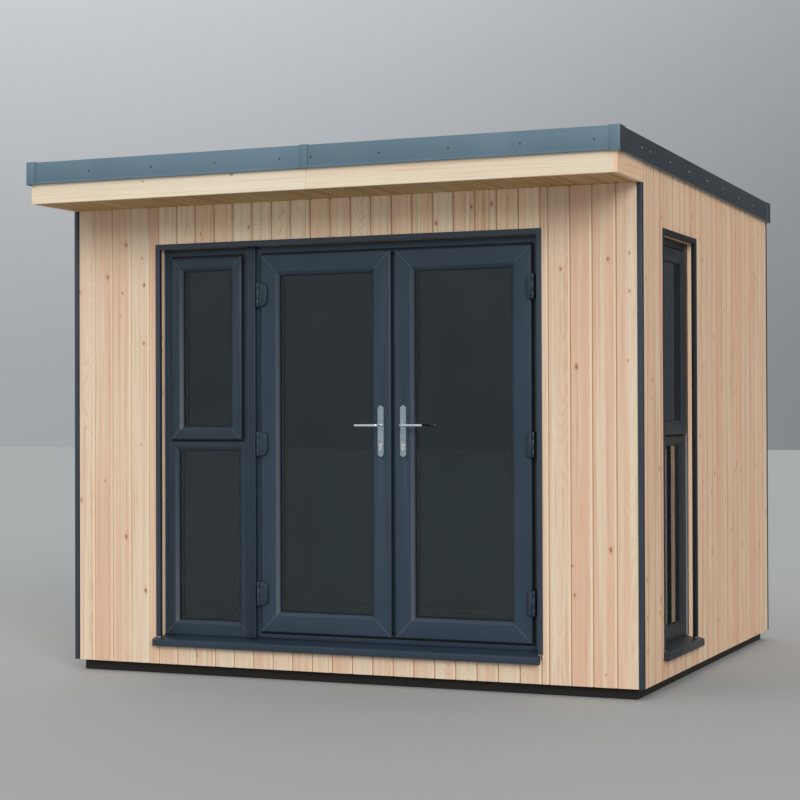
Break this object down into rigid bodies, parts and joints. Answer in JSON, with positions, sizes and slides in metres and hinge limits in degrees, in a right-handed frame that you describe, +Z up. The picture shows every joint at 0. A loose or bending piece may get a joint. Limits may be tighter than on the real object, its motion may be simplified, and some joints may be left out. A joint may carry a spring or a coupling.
{
  "type": "garden office pod",
  "caption": "Small insulated garden office pod with timber cladding, flat overhanging roof, French doors with lever handles, a side light and a side window.",
  "frame": {"origin": "on the ground in the middle of the overall footprint", "axes": "+X to the right seen from the front, +Y to the back, +Z up; the doors face -Y"},
  "size_m": [2.9314, 2.926, 2.4475],
  "materials": {
    "larch_boards": "planed softwood tongue-and-groove boards, oiled",
    "larch_trim": "planed softwood board",
    "anthracite_frame": "anthracite foiled window profile, fine grain",
    "anthracite_metal": "powder-coated folded sheet, satin",
    "corner_metal": "powder-coated angle, satin",
    "glass": "clear float glass",
    "polished_handle": "polished",
    "roof_membrane": "single-ply roof covering, matt",
    "roof_timber": "structural board",
    "wall_panel": "insulated panel with a painted board lining",
    "floor_panel": "insulated timber floor panel",
    "floor_boards": "oak-effect floor boards",
    "base_black": "black-stained treated timber",
    "hinge_metal": "powder-coated hinge covers, satin"
  },
  "bodies": {
    "pod": {"base_plinth": "base_black", "floor_panel": "floor_panel", "floor_boards": "floor_boards", "front_wall_left": "wall_panel", "front_wall_right": "wall_panel", "front_wall_header": "wall_panel", "back_wall": "wall_panel", "left_wall": "wall_panel", "right_wall": "wall_panel", "front_cladding_left": "larch_boards", "front_cladding_right": "larch_boards", "front_cladding_header": "larch_boards", "front_cladding_apron": "larch_boards", "back_cladding": "larch_boards", "left_cladding": "larch_boards", "right_cladding": "larch_boards", "corner_trims": "corner_metal", "roof_slab": "roof_timber", "roof_membrane": "roof_membrane", "soffit": "larch_boards", "front_fascia": "larch_trim", "fascia_cheeks": "larch_trim", "roof_trims": "anthracite_metal", "roof_trim_caps": "anthracite_metal", "opening_trims": "corner_metal", "opening_linings": "larch_trim", "sills": "anthracite_frame", "door_frame": "anthracite_frame", "coupler_post": "anthracite_frame", "side_light_frame": "anthracite_frame", "side_light_sash": "anthracite_frame", "window_glass": "glass", "frame_hinges": "hinge_metal", "side_window_frame": "anthracite_frame", "side_window_sash": "anthracite_frame"},
    "left_door": {"left_door_leaf": "anthracite_frame", "left_door_glass": "glass", "left_door_hinges": "hinge_metal", "left_handle_plates": "polished_handle"},
    "left_lever": {"left_lever": "polished_handle"},
    "right_door": {"right_door_leaf": "anthracite_frame", "right_door_glass": "glass", "right_door_hinges": "hinge_metal", "right_handle_plates": "polished_handle"},
    "right_lever": {"right_lever": "polished_handle"}
  },
  "joints": [
    {"name": "left_door_hinge", "type": "hinge", "parent": "pod", "child": "left_door", "pos_m": [-0.44775, -1.0525, 1.1085], "axis": [0, 0, -1], "range_deg": [0, 90]},
    {"name": "right_door_hinge", "type": "hinge", "parent": "pod", "child": "right_door", "pos_m": [0.92525, -1.0525, 1.1085], "axis": [0, 0, 1], "range_deg": [0, 90]},
    {"name": "left_lever_turn", "type": "hinge", "parent": "left_door", "child": "left_lever", "pos_m": [0.18575, -1.0095, 1.196], "axis": [0, -1, 0], "range_deg": [-35, 45], "stiffness_Nm_per_rad": 0.8},
    {"name": "right_lever_turn", "type": "hinge", "parent": "right_door", "child": "right_lever", "pos_m": [0.29775, -1.0095, 1.196], "axis": [0, 1, 0], "range_deg": [-35, 45], "stiffness_Nm_per_rad": 0.8}
  ]
}
